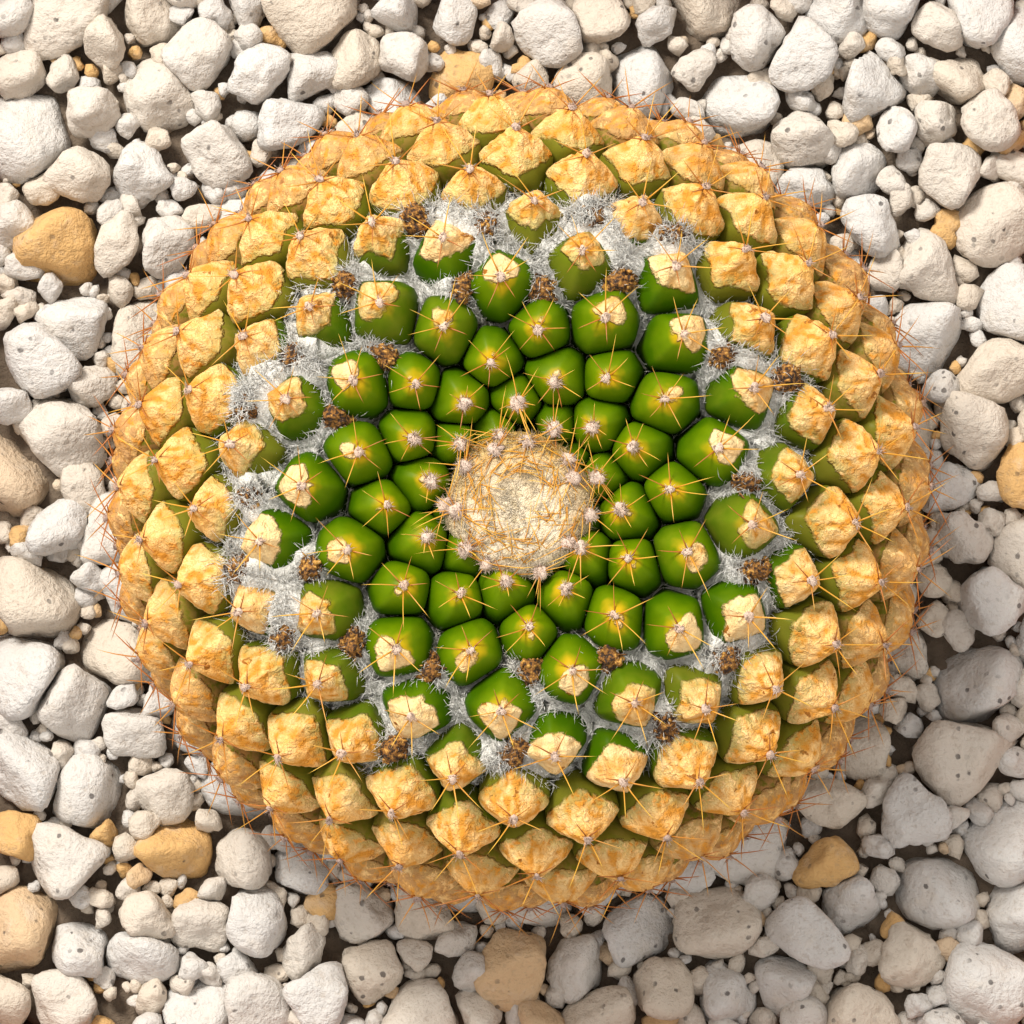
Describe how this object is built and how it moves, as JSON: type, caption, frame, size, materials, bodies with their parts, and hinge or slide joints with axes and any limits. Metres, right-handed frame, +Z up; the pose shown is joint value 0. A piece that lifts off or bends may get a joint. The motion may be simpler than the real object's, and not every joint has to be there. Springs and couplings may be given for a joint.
{
  "type": "potted mammillaria marksiana",
  "caption": "Flattened globe-shaped cactus with spined tubercles and a woolly crown, standing in pumice gravel in a tapered square clay pot.",
  "frame": {"origin": "centre of the pot's flat underside", "axes": "+Z up, square sides of the pot along X and Y, -Y is the front"},
  "size_m": [0.175, 0.175, 0.1573],
  "materials": {
    "terracotta": "matte",
    "potting_mix": "matte",
    "pumice": "matte",
    "stem": "satin",
    "wool": "matte"
  },
  "bodies": {
    "root": {"pot": "terracotta", "potting_mix": "potting_mix", "pumice_gravel": "pumice", "stem": "stem", "crown_wool": "wool"}
  },
  "joints": []
}
